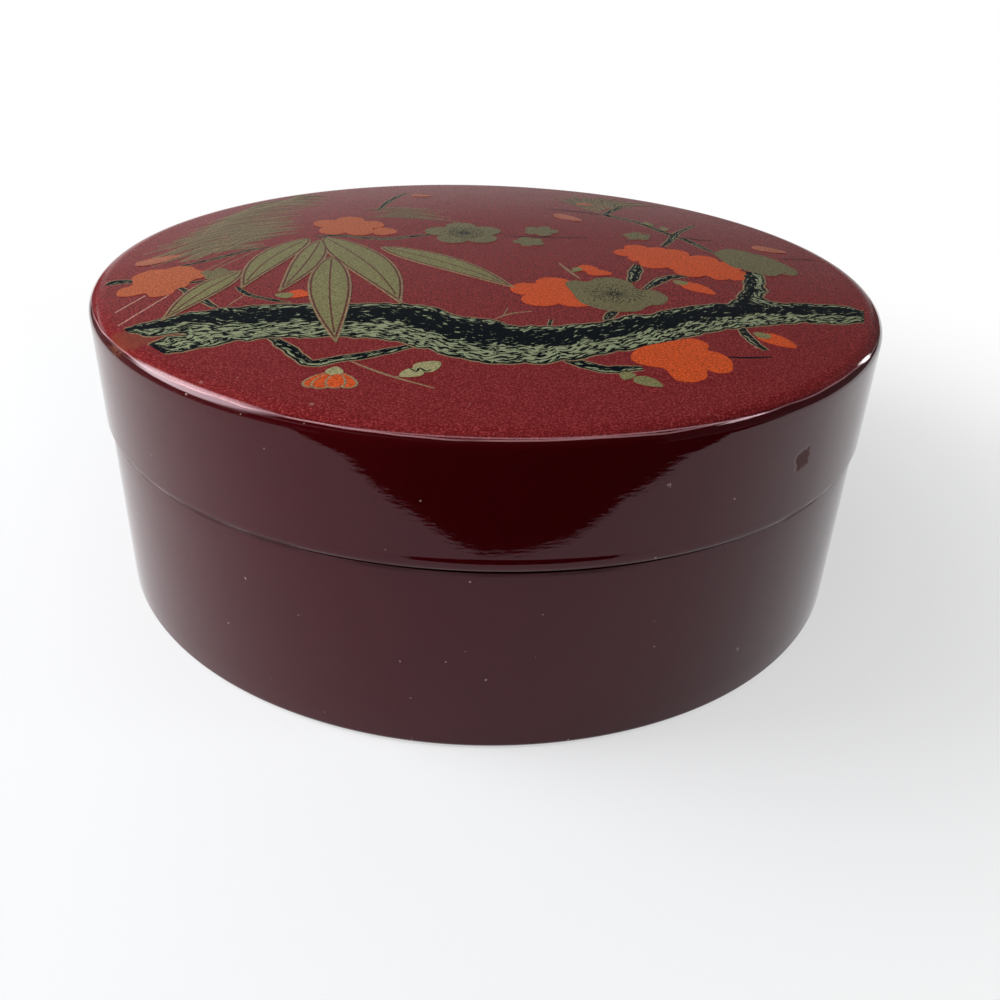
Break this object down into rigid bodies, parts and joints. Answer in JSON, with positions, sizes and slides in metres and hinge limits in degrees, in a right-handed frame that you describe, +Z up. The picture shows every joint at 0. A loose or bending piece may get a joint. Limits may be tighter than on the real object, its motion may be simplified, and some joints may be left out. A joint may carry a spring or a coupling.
{
  "type": "round trinket box",
  "caption": "Low round lacquered trinket box of bent wood, with a flat ornamented lid that lifts straight off a guiding neck inside the base.",
  "frame": {"origin": "centre of the foot, on the table", "axes": "+Z up along the box's axis, -Y towards the viewer of the picture, +X to the right"},
  "size_m": [0.127, 0.127, 0.048],
  "materials": {
    "red_lacquer_top": "satin dark red lacquer",
    "red_lacquer_wall": "glossy dark red lacquer",
    "black_lacquer": "black lacquer",
    "peg_wood": "bare split wood"
  },
  "bodies": {
    "base": {"base_hoop": "red_lacquer_wall", "floor_board": "black_lacquer", "neck_hoop": "black_lacquer", "floor_peg_1": "peg_wood", "floor_peg_2": "peg_wood", "floor_peg_3": "peg_wood", "floor_peg_4": "peg_wood", "floor_peg_5": "peg_wood", "floor_peg_6": "peg_wood"},
    "lid": {"lid_board": "red_lacquer_top", "lid_hoop": "red_lacquer_wall", "lid_peg_1": "peg_wood", "lid_peg_2": "peg_wood", "lid_peg_3": "peg_wood", "lid_peg_4": "peg_wood", "lid_peg_5": "peg_wood", "lid_peg_6": "peg_wood"}
  },
  "joints": [
    {"name": "lid_lift", "type": "slide", "parent": "base", "child": "lid", "axis": [0, 0, 1], "range_m": [0, 0.1]}
  ]
}
